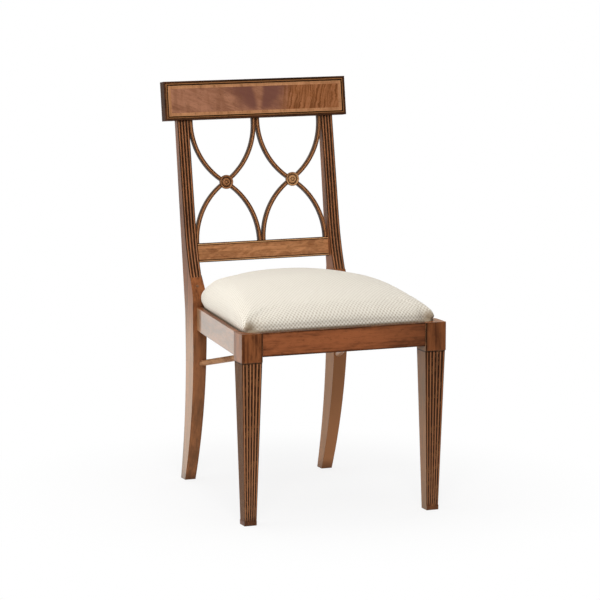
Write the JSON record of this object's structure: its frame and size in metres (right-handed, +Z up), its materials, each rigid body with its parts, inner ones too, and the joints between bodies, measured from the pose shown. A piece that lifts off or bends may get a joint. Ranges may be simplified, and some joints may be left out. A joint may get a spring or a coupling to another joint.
{
  "type": "side chair",
  "caption": "Armless dining side chair with reeded legs, sabre rear legs, an ogee lattice back with turned rosettes, a tablet crest rail and a loose upholstered drop-in seat.",
  "frame": {"origin": "on the floor, in the middle of the chair's width and depth", "axes": "+X to the right as seen from the front, +Y to the back, +Z up"},
  "size_m": [0.48, 0.5602, 0.9197],
  "materials": {
    "mahogany": "polished mahogany, darker in the reeds",
    "mahogany_dark": "dark polished mahogany moulding",
    "figured_veneer": "polished figured mahogany veneer",
    "banding": "polished light cross-banding",
    "softwood": "plain unpolished wood",
    "screw_steel": "plain steel",
    "webbing": "jute webbing",
    "foam": "upholstery pad",
    "seat_cloth": "cream cloth with a small woven figure",
    "dust_cloth": "black lining cloth"
  },
  "bodies": {
    "frame": {"front_leg_left": "mahogany", "front_leg_right": "mahogany", "rear_leg_left": "mahogany", "rear_leg_right": "mahogany", "front_seat_rail": "mahogany", "side_seat_rail_left": "mahogany", "side_seat_rail_right": "mahogany", "rear_seat_rail": "mahogany", "lower_back_rail": "mahogany", "lattice_bar_left_rising": "mahogany", "lattice_bar_left_falling": "mahogany", "lattice_bar_right_rising": "mahogany", "lattice_bar_right_falling": "mahogany", "rosette_left": "mahogany", "rosette_right": "mahogany", "brace_rod_left": "mahogany", "brace_rod_right": "mahogany", "post_plugs": "mahogany", "crest_rail": "mahogany_dark", "crest_veneer": "figured_veneer", "lower_rail_veneer": "figured_veneer", "crest_banding": "banding", "corner_block_front_left": "softwood", "corner_block_front_right": "softwood", "corner_block_rear_left": "softwood", "corner_block_rear_right": "softwood", "corner_block_screws": "screw_steel"},
    "seat": {"seat_frame_front": "softwood", "seat_frame_rear": "softwood", "seat_frame_left": "softwood", "seat_frame_right": "softwood", "seat_webbing_cross": "webbing", "seat_webbing_long": "webbing", "seat_foam": "foam", "seat_cover": "seat_cloth", "seat_dust_cover": "dust_cloth"}
  },
  "joints": [
    {"name": "seat_lift", "type": "slide", "parent": "frame", "child": "seat", "axis": [0, 0, 1], "range_m": [0, 0.15]}
  ]
}
